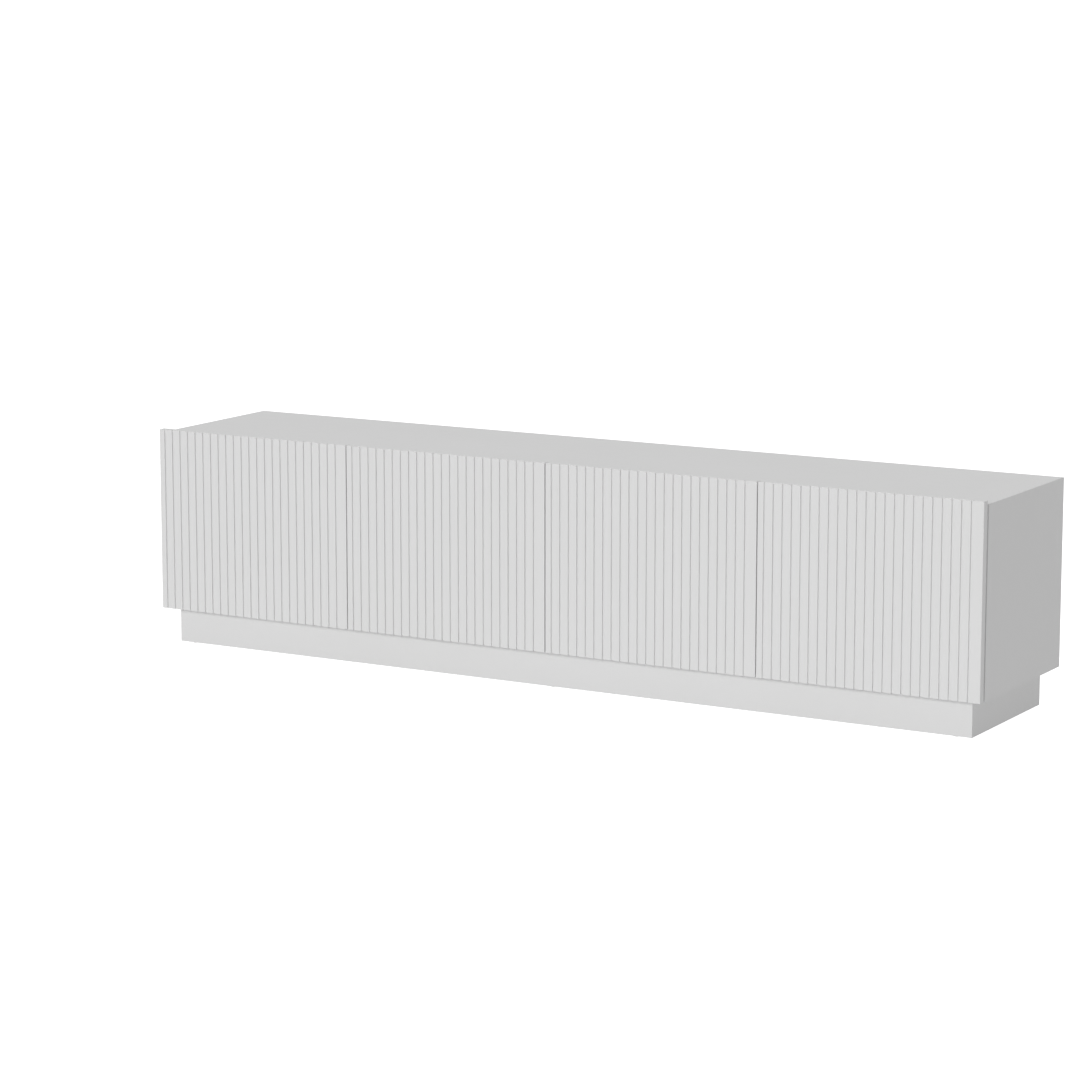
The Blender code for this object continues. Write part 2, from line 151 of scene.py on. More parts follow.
PLATE_SCREW_SPREAD = 0.016
WING_HALF_WIDTH = 0.006
WING_REACH = 0.024
WING_THICKNESS = 0.002
WING_END_FLAT = 0.0005
WING_SCREW_DEPTH = 0.0001
PRESSED_EDGE = 0.0003

# How far an edge turns when it is one to round, one to keep sharp in shading, and a square one
SHARP_ANGLE = math.radians(35)
SHADING_ANGLE = math.radians(50)
SQUARE_ANGLES = (math.radians(80), math.radians(100))

# What a noise texture's output mostly lies between
NOISE_LOW = 0.3
NOISE_HIGH = 0.7

# Studio: the floor lights the bench by its fill, and its glow is seen by the camera alone
FLOOR_RADIUS = 400
FLOOR_COLOUR = (0.15, 0.15, 0.15)
FLOOR_GLOW = 0.75
FLOOR_FILL = 0.525
FRONT_LIGHT = 1.10
FRONT_LIGHT_FROM = (-0.33, -1.0, 0.34)
FRONT_LIGHT_ANGLE = 14
TOP_LIGHT = 0.92
TOP_LIGHT_FROM = (0.0, 0.0, 1.0)
TOP_LIGHT_ANGLE = 35
WORLD_STRENGTH = 0.42
BACKDROP_STRENGTH = 1.2


def nodes_of(material):
    tree = material.node_tree
    return tree, tree.nodes["Principled BSDF"]


def new_material(name, colour, roughness, metallic=0.0, specular=0.5):
    """A Principled material; colour and the plain numbers sit on the shader's own sockets."""
    material = bpy.data.materials.new(name)
    material.use_nodes = True
    _, shader = nodes_of(material)
    shader.inputs["Base Color"].default_value = (*colour, 1)
    shader.inputs["Roughness"].default_value = roughness
    shader.inputs["Metallic"].default_value = metallic
    shader.inputs["Specular IOR Level"].default_value = specular
    return material


def add_noise(tree, scale, detail=2.0, stretch=(1, 1, 1)):
    """A noise in the piece's own metres; stretch makes it longer along an axis where it is small."""
    place = tree.nodes.new("ShaderNodeTexCoord")
    mapping = tree.nodes.new("ShaderNodeMapping")
    mapping.inputs["Scale"].default_value = stretch
    noise = tree.nodes.new("ShaderNodeTexNoise")
    noise.inputs["Scale"].default_value = scale
    noise.inputs["Detail"].default_value = detail
    tree.links.new(place.outputs["Object"], mapping.inputs["Vector"])
    tree.links.new(mapping.outputs["Vector"], noise.inputs["Vector"])
    return noise


def vary_colour(material, noise, dark, light):
    """The base colour runs between two colours with the noise."""
    tree, shader = nodes_of(material)
    ramp = tree.nodes.new("ShaderNodeValToRGB")
    ramp.color_ramp.elements[0].position = NOISE_LOW
    ramp.color_ramp.elements[1].position = NOISE_HIGH
    ramp.color_ramp.elements[0].color = (*dark, 1)
    ramp.color_ramp.elements[1].color = (*light, 1)
    tree.links.new(noise.outputs["Fac"], ramp.inputs["Fac"])
    tree.links.new(ramp.outputs["Color"], shader.inputs["Base Color"])


def vary_roughness(material, noise, low, high):
    tree, shader = nodes_of(material)
    spread = tree.nodes.new("ShaderNodeMapRange")
    spread.inputs["From Min"].default_value = NOISE_LOW
    spread.inputs["From Max"].default_value = NOISE_HIGH
    spread.inputs["To Min"].default_value = low
    spread.inputs["To Max"].default_value = high
    tree.links.new(noise.outputs["Fac"], spread.inputs["Value"])
    tree.links.new(spread.outputs["Result"], shader.inputs["Roughness"])


def add_bump(material, noise, depth):
    tree, shader = nodes_of(material)
    bump = tree.nodes.new("ShaderNodeBump")
    bump.inputs["Distance"].default_value = depth
    tree.links.new(noise.outputs["Fac"], bump.inputs["Height"])
    tree.links.new(bump.outputs["Normal"], shader.inputs["Normal"])


def make_lacquer():
    """Sprayed white lacquer: a soft sheen, a faint orange peel and slightly uneven gloss."""
    material = new_material("white_lacquer", (0.80, 0.80, 0.80), 0.42, specular=0.4)
    tree = material.node_tree
    vary_colour(material, add_noise(tree, 3.0), (0.795, 0.795, 0.793), (0.805, 0.805, 0.805))
    vary_roughness(material, add_noise(tree, 40, 3), 0.38, 0.46)
    add_bump(material, add_noise(tree, 450, 1), 0.00004)
    return material


def make_melamine():
    """Melamine-faced board: flat white with the fine pearl grain of the press plate."""
    material = new_material("white_melamine", (0.78, 0.78, 0.78), 0.5, specular=0.4)
    tree = material.node_tree
    vary_colour(material, add_noise(tree, 5.0), (0.775, 0.775, 0.773), (0.785, 0.785, 0.785))
    vary_roughness(material, add_noise(tree, 90, 3), 0.46, 0.56)
    add_bump(material, add_noise(tree, 1400, 2), 0.00008)
    return material


def make_back_board():
    """Painted fibreboard: matt, with short fibres just showing."""
    material = new_material("back_board", (0.76, 0.76, 0.755), 0.6, specular=0.3)
    tree = material.node_tree
    vary_colour(material, add_noise(tree, 60, 4, (1, 1, 0.4)), (0.745, 0.745, 0.74), (0.77, 0.77, 0.765))
    vary_roughness(material, add_noise(tree, 120, 3), 0.56, 0.66)
    add_bump(material, add_noise(tree, 900, 3), 0.00006)
    return material


def make_steel():
    """Nickel-plated pressed steel, with the fine drawing lines of the strip."""
    material = new_material("nickel_steel", (0.66, 0.65, 0.62), 0.28, metallic=1.0)
    tree = material.node_tree
    vary_colour(material, add_noise(tree, 120, 3), (0.62, 0.61, 0.58), (0.69, 0.68, 0.655))
    vary_roughness(material, add_noise(tree, 160, 3, (1, 1, 6)), 0.2, 0.36)
    add_bump(material, add_noise(tree, 900, 2, (1, 0.1, 1)), 0.00001)
    return material


def make_plastic(name, colour, roughness):
    """Moulded plastic or rubber with a fine spark-eroded grain."""
    material = new_material(name, colour, roughness)
    tree = material.node_tree
    vary_roughness(material, add_noise(tree, 300, 2), roughness - 0.05, roughness + 0.07)
    add_bump(material, add_noise(tree, 2500, 2), 0.00002)
    return material


MATERIALS = {
    "lacquer": make_lacquer(),
    "melamine": make_melamine(),
    "back_board": make_back_board(),
    "steel": make_steel(),
    "glide": make_plastic("glide_plastic", (0.55, 0.55, 0.55), 0.5),
    "bumper": make_plastic("bumper_rubber", (0.72, 0.72, 0.72), 0.35),
}


def finish_nodes():
    """Every CAD node takes the fine material of its slot in the record."""
    for part in frame["record"]["subparts"]:
        node = frame["nodes"][part["node"]]
        node.data.materials.clear()
        node.data.materials.append(MATERIALS[part["material_slot"]])


def slot_of(node):
    slots = {part["node"]: part["material_slot"] for part in frame["record"]["subparts"]}
    return slots[node]


def mesh_from(build):
    build.normal_update()
    bmesh.ops.recalc_face_normals(build, faces=build.faces)
    mesh = bpy.data.meshes.new("shape")
    build.to_mesh(mesh)
    build.free()
    return mesh


def drawn_out(outline, start, end, along="Z"):
    """A flat outline drawn out straight: (X, Y) points along Z, or (X, Z) points along Y."""
    build = bmesh.new()
    base = build.faces.new([build.verts.new((a, b, start)) for a, b in outline])
    drawn = bmesh.ops.extrude_face_region(build, geom=[base])["geom"]
    far = [item for item in drawn if isinstance(item, bmesh.types.BMVert)]
    bmesh.ops.translate(build, verts=far, vec=(0, 0, end - start))
    if along == "Y":
        for corner in build.verts:
            corner.co = corner.co.xzy
    build.normal_update()
    bmesh.ops.recalc_face_normals(build, faces=build.faces)
    return build


def turned(profile, sides, along="Z"):
    """(radius, height) points turned about an axis; the first and the last point lie on it."""
    build = bmesh.new()
    corners = [build.verts.new((radius, 0, height)) for radius, height in profile]
    edges = [build.edges.new(pair) for pair in zip(corners, corners[1:])]
    bmesh.ops.spin(build, geom=corners + edges, cent=(0, 0, 0), axis=(0, 0, 1),
                   angle=math.tau, steps=sides, use_merge=True)
    bmesh.ops.remove_doubles(build, verts=build.verts, dist=1e-6)
    if along == "Y":
        build.transform(Matrix.Rotation(-math.pi / 2, 4, "X"))
    if along == "X":
        build.transform(Matrix.Rotation(math.pi / 2, 4, "Y"))
    return mesh_from(build)


def arc(centre, radius, start, end, steps):
    """Points on a circle, angles in degrees, both ends included."""
    angles = [math.radians(start + (end - start) * step / steps) for step in range(steps + 1)]
    return [(centre[0] + radius * math.cos(a), centre[1] + radius * math.sin(a)) for a in angles]


def rod(radius, start, end, sides, along="Z", rounding=0.0):
    """A solid rod; rounding eases the rims of its ends."""
    if not rounding:
        return turned([(0, start), (radius, start), (radius, end), (0, end)], sides, along)
    inner = radius - rounding
    profile = [(0, start), *arc((inner, start + rounding), rounding, -90, 0, 3)]
    profile += [*arc((inner, end - rounding), rounding, 0, 90, 3), (0, end)]
    return turned(profile, sides, along)


def rectangle(low, high):
    return [(low[0], low[1]), (high[0], low[1]), (high[0], high[1]), (low[0], high[1])]


def rounded_rectangle(low, high, radius, steps=6):
    outline = arc((low[0] + radius, low[1] + radius), radius, 180, 270, steps)
    outline += arc((high[0] - radius, low[1] + radius), radius, 270, 360, steps)
    outline += arc((high[0] - radius, high[1] - radius), radius, 0, 90, steps)
    outline += arc((low[0] + radius, high[1] - radius), radius, 90, 180, steps)
    return outline


def moved(mesh, x=0.0, y=0.0, z=0.0):
    mesh.transform(Matrix.Translation((x, y, z)))
    return mesh


def is_sharp(edge):
    return len(edge.link_faces) == 2 and edge.calc_face_angle() > SHARP_ANGLE


def ease(build, width, chosen=is_sharp, segments=2, clamp=True):
    """Rounds the edges for which chosen(edge) is true."""
    edges = [edge for edge in build.edges if chosen(edge)]
    bmesh.ops.bevel(build, geom=edges, offset=width, segments=segments, profile=0.5,
                    affect="EDGES", clamp_overlap=clamp)
    return build


def combined(first, others, operation):
    """One mesh made of the first, with each of the others joined to it or cut from it."""
    target = bpy.data.objects.new("work", first)
    bpy.context.scene.collection.objects.link(target)
    tools = []
    for other in others:
        tool = bpy.data.objects.new("tool", other)
        bpy.context.scene.collection.objects.link(tool)
        tools.append(tool)
        change = target.modifiers.new("change", "BOOLEAN")
        change.operation = operation
        change.solver = "EXACT"
        change.object = tool
    bpy.context.view_layer.update()
    graph = bpy.context.evaluated_depsgraph_get()
    result = bpy.data.meshes.new_from_object(target.evaluated_get(graph))
    for temporary in [target, *tools]:
        bpy.data.objects.remove(temporary, do_unlink=True)
    result.materials.clear()
    return result


def add_piece(node, mesh):
    """A finished piece in a CAD node's place, smooth but with its flat faces kept flat."""
    piece = bpy.data.objects.new(f"{node}_fine", mesh)
    bpy.context.scene.collection.objects.link(piece)
    mesh.materials.append(MATERIALS[slot_of(node)])
    mesh.shade_smooth()
    mesh.set_sharp_from_angle(angle=SHADING_ANGLE)
    even = piece.modifiers.new("even_normals", "WEIGHTED_NORMAL")
    even.keep_sharp = True
    even.weight = 100
    bodies = frame["record"]["behaviour"]["bodies"]
    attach(piece, next(body for body, held in bodies.items() if node in held))
    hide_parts(node)
    return piece


def pin_drills(wall, into):
    """Cutters for the pin holes in the face at X = wall; into, +1 or -1, is the way they go in."""
    pins = [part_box(name) for name in frame["nodes"] if name.startswith("shelf_pin")]
    middles = [(low + high) / 2 for low, high in pins if low.x < wall < high.x]
    throat = PIN_HOLE_RADIUS + HOLE_CHAMFER
    profile = [(0, -HOLE_CHAMFER), (throat + HOLE_CHAMFER, -HOLE_CHAMFER),
               (PIN_HOLE_RADIUS, HOLE_CHAMFER), (PIN_HOLE_RADIUS, PIN_HOLE_DEPTH), (0, PIN_HOLE_DEPTH)]
    drills = []
    for middle in middles:
        for row in PIN_ROWS:
            drill = turned(profile, 24, "X")
            if into < 0:
                drill.transform(Matrix.Rotation(math.pi, 4, "Z"))
            drills.append(moved(drill, wall, middle.y, middle.z + row * PIN_ROW_PITCH))
    return drills


def add_plain_board(node, drilled=()):
    """A square-edged board; drilled lists the (face X, direction) pairs that have pin holes."""
    low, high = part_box(node)
    mesh = mesh_from(ease(drawn_out(rectangle(low, high), low.z, high.z), BOARD_EDGE))
    drills = [drill for wall, into in drilled for drill in pin_drills(wall, into)]
    if drills:
        mesh = combined(mesh, drills, "DIFFERENCE")
    return add_piece(node, mesh)


def is_mitre(edge):
    """The thin outer corner of a mitred end."""
    return len(edge.link_faces) == 2 and edge.calc_face_angle() > SQUARE_ANGLES[1]


def ease_mitred(build):
    """Rounds a mitred board's square corners, and barely touches its thin ones."""
    def is_square(edge):
        return is_sharp(edge) and SQUARE_ANGLES[0] < edge.calc_face_angle() < SQUARE_ANGLES[1]

    ease(build, MITRE_EDGE, is_mitre, 1)
    return ease(build, BOARD_EDGE, is_square)


def add_top_and_sides():
    """The top and the two sides, which meet it in mitres."""
    low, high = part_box("top_panel")
    widen = FIT_GAP - MITRE_OPENING
    thick = high.z - low.z
    outline = [(low.x - widen, high.z), (low.x - widen + thick, low.z),
               (high.x + widen - thick, low.z), (high.x + widen, high.z)]
    add_piece("top_panel", mesh_from(ease_mitred(drawn_out(outline, low.y, high.y, "Y"))))
    for node, side in (("left_side_panel", -1), ("right_side_panel", 1)):
        low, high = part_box(node)
        outer = side * max(abs(low.x), abs(high.x))
        inner = side * min(abs(low.x), abs(high.x))
        crown = high.z + widen
        outline = [(outer, low.z), (inner, low.z), (inner, crown - thick), (outer, crown)]
        mesh = mesh_from(ease_mitred(drawn_out(outline, low.y, high.y, "Y")))
        add_piece(node, combined(mesh, pin_drills(inner, side), "DIFFERENCE"))


def add_plinth():
    """Four mitred boards, and the rail across their middle."""
    for node, side in (("plinth_front", -1), ("plinth_back", 1)):
        low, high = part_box(node)
        outer = low.y if side < 0 else high.y
        inner = outer - side * BOARD
        x = high.x + FIT_GAP - MITRE_OPENING
        outline = [(-x, outer), (x, outer), (x - BOARD, inner), (BOARD - x, inner)]
        add_piece(node, mesh_from(ease_mitred(drawn_out(outline, low.z, high.z))))
    for node, side in (("plinth_left", -1), ("plinth_right", 1)):
        low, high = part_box(node)
        outer = low.x if side < 0 else high.x
        inner = outer - side * BOARD
        y = high.y + FIT_GAP - MITRE_OPENING
        outline = [(outer, -y), (outer, y), (inner, y - BOARD), (inner, BOARD - y)]
        add_piece(node, mesh_from(ease_mitred(drawn_out(outline, low.z, high.z))))
    add_plain_board("plinth_centre_rail")


def add_back_panel(node):
    """A thin back with its round cable hole, whose rims are slightly countersunk."""
    low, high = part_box(node)
    opening = next(item for item in frame["record"]["physics"]["openings"]
                   if item["name"].endswith("cable_hole") and low.x < item["box_m"][0][0] < high.x)
    corner, far = (Vector(point) for point in opening["box_m"])
    radius = CABLE_HOLE_RADIUS
    flare = 2 * BOARD_EDGE
    profile = [(0, low.y - flare), (radius + 2 * flare, low.y - flare), (radius, low.y + flare),
               (radius, high.y - flare), (radius + 2 * flare, high.y + flare), (0, high.y + flare)]
    drill = turned(profile, 72, "Y")
    middle = (corner + far) / 2
    mesh = mesh_from(ease(drawn_out(rectangle(low, high), low.z, high.z), BOARD_EDGE))
    add_piece(node, combined(mesh, [moved(drill, x=middle.x, z=middle.z)], "DIFFERENCE"))


def groove(left, face):
    """One groove across a door's end outline: rounded lips and a rounded bed."""
    right = left + GROOVE_WIDTH
    bed = face + GROOVE_DEPTH
    lip = GROOVE_LIP_RADIUS
    turn = GROOVE_BED_RADIUS
    outline = arc((left - lip, face + lip), lip, 270, 360, 3)
    outline += arc((left + turn, bed - turn), turn, 180, 90, 4)
    outline += arc((right - turn, bed - turn), turn, 90, 0, 4)
    outline += arc((right + lip, face + lip), lip, 180, 270, 3)
    return outline


def door_outline(low, high):
    """A door's end with its grooves, which are set out from the door's left edge."""
    front = DOOR_FRONT_RADIUS
    back = DOOR_BACK_RADIUS
    outline = arc((low.x + back, high.y - back), back, 90, 180, 4)
    outline += arc((low.x + front, low.y + front), front, 180, 270, 5)
    for number in range(GROOVE_COUNT):
        outline += groove(low.x + FIRST_GROOVE + number * GROOVE_PITCH - GROOVE_WIDTH / 2, low.y)
    outline += arc((high.x - front, low.y + front), front, 270, 360, 5)
    outline += arc((high.x - back, high.y - back), back, 0, 90, 4)
    return outline


def add_door(number):
    """A fluted door with the bores for its hinge cups."""
    node = f"door_{number}"
    low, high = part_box(node)
    build = drawn_out(door_outline(low, high), low.z, high.z)

    def is_end(edge):
        """An edge of the door's top or bottom end."""
        level = abs(edge.verts[0].co.z - edge.verts[1].co.z) < 1e-6
        return level and is_sharp(edge)

    ease(build, DOOR_END_EDGE, is_end, 2, clamp=False)
    edge = hinge_edge(number)
    way = 1 if edge > (low.x + high.x) / 2 else -1
    drills = []
    for level in ("low", "high"):
        drill = rod(CUP_BORE_RADIUS, -CUP_BORE_DEPTH, BOARD, 64, "Y")
        drills.append(moved(drill, edge + way * CUP_CENTRE, high.y, hinge_height(number, level)))
    return add_piece(node, combined(mesh_from(build), drills, "DIFFERENCE"))


def hinge_height(number, level):
    low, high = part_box(f"hinge_cup_{number}_{level}")
    return (low.z + high.z) / 2


def hinge_edge(number):
    """The X of the edge that a door is hinged at: the one nearer to its cups."""
    low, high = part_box(f"door_{number}")
    cup_low, cup_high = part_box(f"hinge_cup_{number}_low")
    return high.x if high.x - cup_high.x < cup_low.x - low.x else low.x


def screw_head(height):
    """A flat-topped screw head with a cross recess, standing on Z = 0."""
    rim = SCREW_RIM
    profile = [(0, 0), (SCREW_RADIUS, 0), *arc((SCREW_RADIUS - rim, height - rim), rim, 0, 90, 4)]
    head = turned([*profile, (0, height)], 32)
    bars = ((CROSS_REACH, CROSS_HALF_WIDTH), (CROSS_HALF_WIDTH, CROSS_REACH))
    cutters = [mesh_from(drawn_out(rectangle((-a, -b), (a, b)), height - CROSS_DEPTH, 2 * height))
               for a, b in bars]
    return combined(head, cutters, "DIFFERENCE")


def cup_mesh():
    """A pressed steel cup with its round flange and the bar that takes its two screws."""
    bend = CUP_CORNER
    wall = CUP_RADIUS - CUP_INNER_RADIUS
    lip = (FLANGE_TOP - FIT_GAP) / 2
    profile = [(0, -CUP_DEPTH), *arc((CUP_RADIUS - bend, -CUP_DEPTH + bend), bend, -90, 0, 6)]
    profile += [(CUP_RADIUS, FIT_GAP)]
    profile += arc((FLANGE_RADIUS - lip, FIT_GAP + lip), lip, -90, 90, 6)
    profile += arc((CUP_INNER_RADIUS + lip, FLANGE_TOP - lip), lip, 90, 180, 4)
    inner = bend - wall
    profile += arc((CUP_INNER_RADIUS - inner, -CUP_INNER_DEPTH + inner), inner, 0, -90, 6)
    shell = moved(turned(profile + [(0, -CUP_INNER_DEPTH)], 72, "Y"), x=CUP_CENTRE)
    bar_x, bar_z = FLANGE_SCREW
    reach = FLANGE_BAR_REACH
    step = FLANGE_BAR_STEP
    outline = rounded_rectangle((bar_x - reach, -bar_z - reach), (bar_x + reach, bar_z + reach),
                                FLANGE_BAR_CORNER)
    bar = mesh_from(ease(drawn_out(outline, 1.1 * FIT_GAP, FLANGE_TOP - step, "Y"), STRIP_EDGE))
    mouth = rod(CUP_INNER_RADIUS + step, -CUP_INNER_DEPTH / 2, 2 * FLANGE_TOP, 72, "Y")
    mouth = moved(mouth, x=CUP_CENTRE)
    bar = combined(bar, [mouth], "DIFFERENCE")
    heads = []
    for side in (-1, 1):
        head = screw_head(SCREW_HEIGHT)
        head.transform(Matrix.Rotation(-math.pi / 2, 4, "X"))
        heads.append(moved(head, bar_x, FLANGE_TOP - SCREW_SUNK, side * bar_z))
    return combined(shell, [bar, *heads], "UNION")


def arm_mesh(seat):
    """A hinge arm and its mounting plate, which is fixed to a board whose face is at X = seat."""
    x, y = LINK_PIVOT
    skirt = PLATE_FACE + ARM_OVERLAP
    side = arc((x, y), CHEEK_NOSE, 180, 360, 12)
    side += [(x + CHEEK_NOSE, ARM_NECK[0]), (skirt, ARM_NECK[1])]
    side += [(skirt, ARM_END), (x - CHEEK_NOSE, ARM_END)]
    parts = []
    for start in (-CHEEK_OUTER, CHEEK_INNER):
        plate = drawn_out(side, start, start + CHEEK_OUTER - CHEEK_INNER)
        parts.append(mesh_from(ease(plate, PRESSED_EDGE, segments=2)))
    web_outline = rectangle((ARM_FACE, WEB_START), (ARM_FACE + WEB_THICKNESS, ARM_END - PRESSED_EDGE))
    web = drawn_out(web_outline, PRESSED_EDGE - CHEEK_OUTER, CHEEK_OUTER - PRESSED_EDGE)
    web = mesh_from(ease(web, PRESSED_EDGE))
    reach = CHEEK_OUTER + LINK_PIN_PROUD
    parts.append(moved(rod(LINK_PIN_RADIUS, -reach, reach, 24, rounding=PRESSED_EDGE), x=x, y=y))
    block = drawn_out(rectangle((PLATE_FACE, PLATE_SPAN[0]), (seat - PRESSED_EDGE, PLATE_SPAN[1])),
                      -PLATE_HALF_WIDTH, PLATE_HALF_WIDTH)
    parts.append(mesh_from(ease(block, 2 * PRESSED_EDGE, segments=3)))
    wing_low = (PLATE_SCREW_LINE - WING_HALF_WIDTH, -WING_REACH)
    wing_high = (PLATE_SCREW_LINE + WING_HALF_WIDTH, WING_REACH)
    wing_outline = rounded_rectangle(wing_low, wing_high, WING_HALF_WIDTH - WING_END_FLAT)
    wings = mesh_from(ease(drawn_out(wing_outline, 0, WING_THICKNESS), PRESSED_EDGE))
    wings.transform(Matrix(((0, 0, -1, seat), (1, 0, 0, 0), (0, -1, 0, 0), (0, 0, 0, 1))))
    parts.append(wings)
    for place in ARM_SCREWS:
        parts.append(facing_screw(ARM_FACE + ARM_SCREW_DEPTH, place, 0))
    for height in (-PLATE_SCREW_SPREAD, PLATE_SCREW_SPREAD):
        parts.append(facing_screw(seat - WING_THICKNESS + WING_SCREW_DEPTH, PLATE_SCREW_LINE, height))
    return combined(web, parts, "UNION")


def facing_screw(x, y, z):
    """A screw head that faces -X and stands on X = x."""
    head = screw_head(SCREW_HEIGHT)
    head.transform(Matrix.Rotation(-math.pi / 2, 4, "Y"))
    return moved(head, x, y, z)


def bent_path(points, radius, steps=6):
    """The points with each inner corner replaced by a smooth bend that starts radius before it."""
    path = [points[0]]
    for before, corner, after in zip(points, points[1:], points[2:]):
        start = corner + radius * (before - corner).normalized()
        end = corner + radius * (after - corner).normalized()
        for step in range(steps + 1):
            share = step / steps
            path.append(start.lerp(corner, share).lerp(corner.lerp(end, share), share))
    return path + [points[-1]]


def strip_outline(path, half):
    """The outline of a strip of even thickness along a bent path, with mitred corners."""
    left = []
    right = []
    for index, point in enumerate(path):
        before = (point - path[index - 1]).normalized() if index else (path[1] - point).normalized()
        after = (path[index + 1] - point).normalized() if index + 1 < len(path) else before
        across = (before + after).normalized().orthogonal()
        reach = half / across.dot(before.orthogonal())
        left.append(tuple(point + reach * across))
        right.append(tuple(point - reach * across))
    return left + right[::-1]


def link_mesh():
    """The bent link between arm and cup: an eye on the arm's pin, and a rolled end in the cup."""
    path = bent_path([LINK_PIVOT, *LINK_KNEES, LINK_TIP], LINK_BEND)
    half = LINK_HALF_WIDTH - STRIP_EDGE
    strip = drawn_out(strip_outline(path, LINK_HALF_THICKNESS), -half, half)
    strip = mesh_from(ease(strip, STRIP_EDGE))
    rolls = []
    for radius, place in ((LINK_EYE_RADIUS, LINK_PIVOT), (LINK_TIP_RADIUS, LINK_TIP)):
        roll = rod(radius, -LINK_HALF_WIDTH, LINK_HALF_WIDTH, 32, rounding=PRESSED_EDGE)
        rolls.append(moved(roll, *place))
    whole = combined(strip, rolls, "UNION")
    bore = moved(rod(LINK_BORE_RADIUS, -2 * LINK_HALF_WIDTH, 2 * LINK_HALF_WIDTH, 24), *LINK_PIVOT)
    return combined(whole, [bore], "DIFFERENCE")


def add_hinges(number, meshes):
    """A door's two hinges: a cup in its back, an arm on the cabinet and the link between them.

    Arms are kept in meshes by how far the board they stand on is from the door's edge.
    """
    edge = hinge_edge(number)
    low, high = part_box(f"door_{number}")
    on_right = edge == high.x
    for level in ("low", "high"):
        place = Matrix.Translation((edge, high.y, hinge_height(number, level)))
        if not on_right:
            place = place @ Matrix.Rotation(math.pi, 4, "Y")
        for part in ("cup", "arm", "link"):
            node = f"hinge_{part}_{number}_{level}"
            key = part
            if part == "arm":
                arm_low, arm_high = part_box(node)
                seat = arm_high.x - edge if on_right else edge - arm_low.x
                key = ("arm", round(seat, 5))
                if key not in meshes:
                    meshes[key] = arm_mesh(seat)
            copy = meshes[key].copy()
            copy.transform(place)
            add_piece(node, copy)


def add_small_parts():
    """Shelf pins, glides and bumpers, each turned to the size of its CAD node."""
    for node in sorted(frame["nodes"]):
        low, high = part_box(node)
        middle = (low + high) / 2
        size = high - low
        if node.startswith("shelf_pin"):
            add_piece(node, pin_mesh(node, low, high))
        elif node.startswith("glide"):
            edge = size.z / 3
            mesh = rod(size.x / 2, low.z, high.z, 48, rounding=edge)
            add_piece(node, moved(mesh, middle.x, middle.y))
        elif node.startswith("door_bumper"):
            radius = size.x / 2
            shoulder = BUMPER_SHOULDER
            dome = arc((radius - shoulder, 0), shoulder, 0, BUMPER_SHOULDER_TURN, 5)
            profile = [(0, 0), (radius, 0)]
            profile += [(x, y * size.y / shoulder) for x, y in dome[1:]]
            mesh = turned(profile + [(0, size.y)], 40, "Y")
            add_piece(node, moved(mesh, middle.x, low.y, middle.z))


def pin_mesh(node, low, high):
    """A turned steel pin: a shank in the board, a collar against it, and the rest under the shelf."""
    shelf_low, shelf_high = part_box(node.rsplit("_", 1)[0].replace("pin_", ""))
    faces_right = (low.x + high.x) < shelf_low.x + shelf_high.x
    length = high.x - low.x
    end = PIN_END_RADIUS
    rim = PIN_COLLAR_EDGE
    collar = PIN_IN_BOARD + FIT_GAP
    collar_end = collar + PIN_COLLAR_LENGTH
    profile = [(0, 0), *arc((PIN_RADIUS - end, end), end, -90, 0, 4), (PIN_RADIUS, collar)]
    profile += arc((PIN_COLLAR_RADIUS - rim, collar + rim), rim, -90, 0, 3)
    profile += arc((PIN_COLLAR_RADIUS - rim, collar_end - rim), rim, 0, 90, 3)
    profile += [(PIN_RADIUS, collar_end)]
    profile += [*arc((PIN_RADIUS - end, length - end), end, 0, 90, 4), (0, length)]
    mesh = turned(profile, 32, "X")
    middle = (low + high) / 2
    if faces_right:
        return moved(mesh, low.x, middle.y, middle.z)
    mesh.transform(Matrix.Rotation(math.pi, 4, "Z"))
    return moved(mesh, high.x, middle.y, middle.z)


def add_floor():
    """A wide pale floor that stays bright right up to the plinth."""
    build = bmesh.new()
    bmesh.ops.create_circle(build, cap_ends=True, segments=96, radius=FLOOR_RADIUS)
    floor = bpy.data.objects.new("floor", mesh_from(build))
    bpy.context.scene.collection.objects.link(floor)
    material = new_material("floor_paint", FLOOR_COLOUR, 0.9, specular=0.0)
    tree, shader = nodes_of(material)
    shader.inputs["Emission Color"].default_value = (1, 1, 1, 1)
    shader.inputs["Emission Strength"].default_value = FLOOR_FILL
    lift = tree.nodes.new("ShaderNodeEmission")
    lift.inputs["Strength"].default_value = FLOOR_GLOW
    total = tree.nodes.new("ShaderNodeAddShader")
    path = tree.nodes.new("ShaderNodeLightPath")
    choose = tree.nodes.new("ShaderNodeMixShader")
    output = tree.nodes["Material Output"]
    tree.links.new(shader.outputs["BSDF"], total.inputs[0])
    tree.links.new(lift.outputs["Emission"], total.inputs[1])
    tree.links.new(path.outputs["Is Camera Ray"], choose.inputs["Fac"])
    tree.links.new(shader.outputs["BSDF"], choose.inputs[1])
    tree.links.new(total.outputs["Shader"], choose.inputs[2])
    tree.links.new(choose.outputs["Shader"], output.inputs["Surface"])
    floor.data.materials.append(material)


def add_sun(name, strength, angle, comes_from):
    sun = bpy.data.objects.new(name, bpy.data.lights.new(name, "SUN"))
    sun.data.energy = strength
    sun.data.angle = math.radians(angle)
    sun.rotation_euler = Vector(comes_from).to_track_quat("Z", "Y").to_euler()
    bpy.context.scene.collection.objects.link(sun)


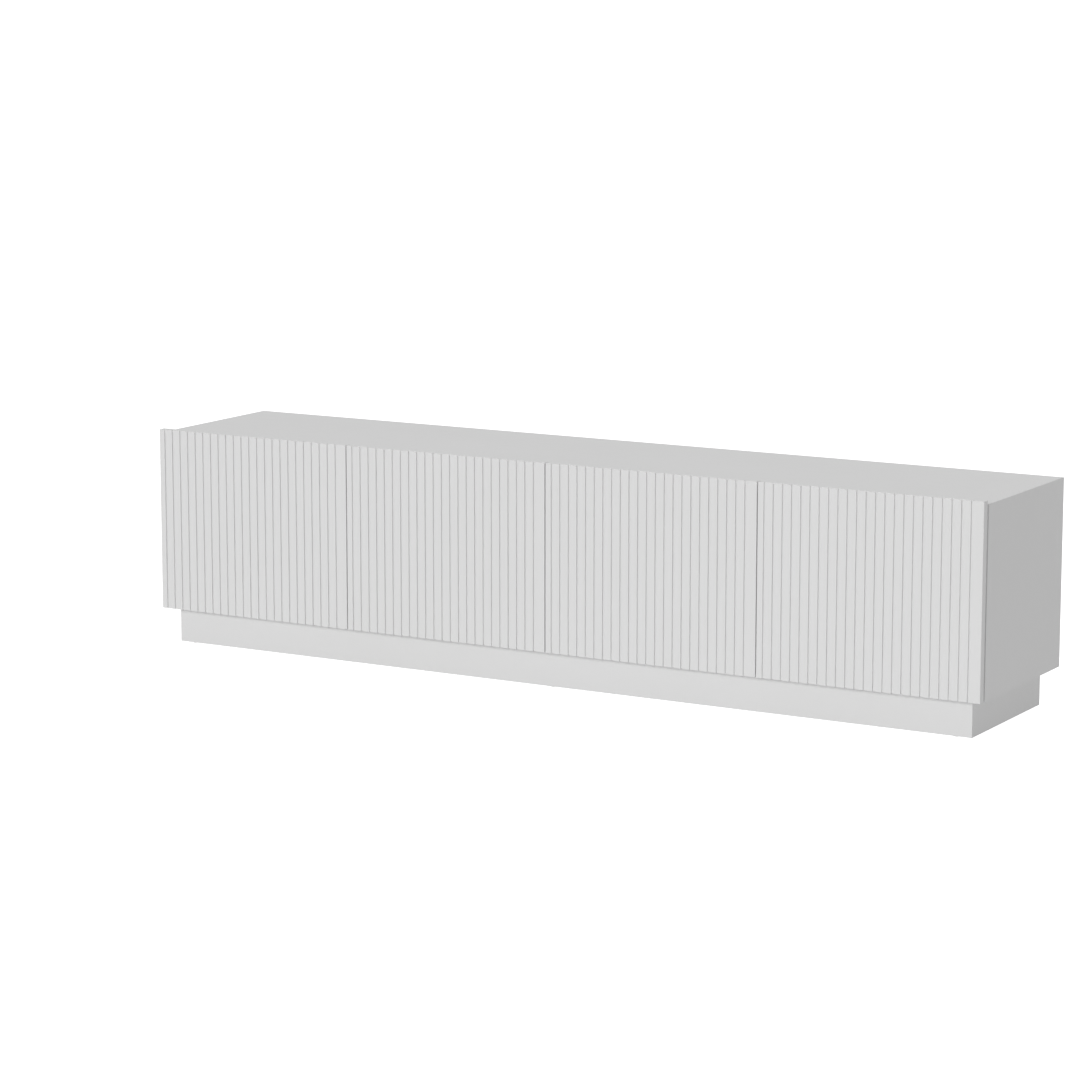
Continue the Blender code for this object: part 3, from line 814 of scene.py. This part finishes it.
def add_lights():
    """A broad light from the front, one from above, and an even white surround."""
    add_sun("front_light", FRONT_LIGHT, FRONT_LIGHT_ANGLE, FRONT_LIGHT_FROM)
    add_sun("top_light", TOP_LIGHT, TOP_LIGHT_ANGLE, TOP_LIGHT_FROM)
    world = bpy.data.worlds.new("studio")
    world.use_nodes = True
    tree = world.node_tree
    surround = tree.nodes["Background"]
    surround.inputs["Color"].default_value = (1, 1, 1, 1)
    surround.inputs["Strength"].default_value = WORLD_STRENGTH
    seen = tree.nodes.new("ShaderNodeBackground")
    seen.inputs["Color"].default_value = (1, 1, 1, 1)
    seen.inputs["Strength"].default_value = BACKDROP_STRENGTH
    path = tree.nodes.new("ShaderNodeLightPath")
    choose = tree.nodes.new("ShaderNodeMixShader")
    tree.links.new(path.outputs["Is Camera Ray"], choose.inputs["Fac"])
    tree.links.new(surround.outputs["Background"], choose.inputs[1])
    tree.links.new(seen.outputs["Background"], choose.inputs[2])
    tree.links.new(choose.outputs["Shader"], tree.nodes["World Output"].inputs["Surface"])
    bpy.context.scene.world = world
    bpy.context.scene.view_settings.view_transform = "Standard"


def add_camera():
    camera = bpy.data.objects.new("camera", bpy.data.cameras.new("camera"))
    camera.data.sensor_width = 36
    camera.data.lens = CAMERA_LENS
    camera.data.clip_end = 2 * FLOOR_RADIUS
    camera.location = CAMERA_PLACE
    camera.rotation_euler = (math.radians(CAMERA_TILT), 0, math.radians(CAMERA_TURN))
    bpy.context.scene.collection.objects.link(camera)
    bpy.context.scene.camera = camera


def add_bench():
    """Every piece of the bench."""
    finish_nodes()
    add_top_and_sides()
    divider_low, divider_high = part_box("centre_divider")
    add_plain_board("centre_divider", ((divider_low.x, 1), (divider_high.x, -1)))
    for node in ("bottom_panel", "shelf_left", "shelf_right"):
        add_plain_board(node)
    add_back_panel("back_panel_left")
    add_back_panel("back_panel_right")
    add_plinth()
    hinge_meshes = {"cup": cup_mesh(), "link": link_mesh()}
    for number in range(1, 5):
        add_door(number)
        add_hinges(number, hinge_meshes)
    add_small_parts()


add_camera()
add_bench()
add_floor()
add_lights()
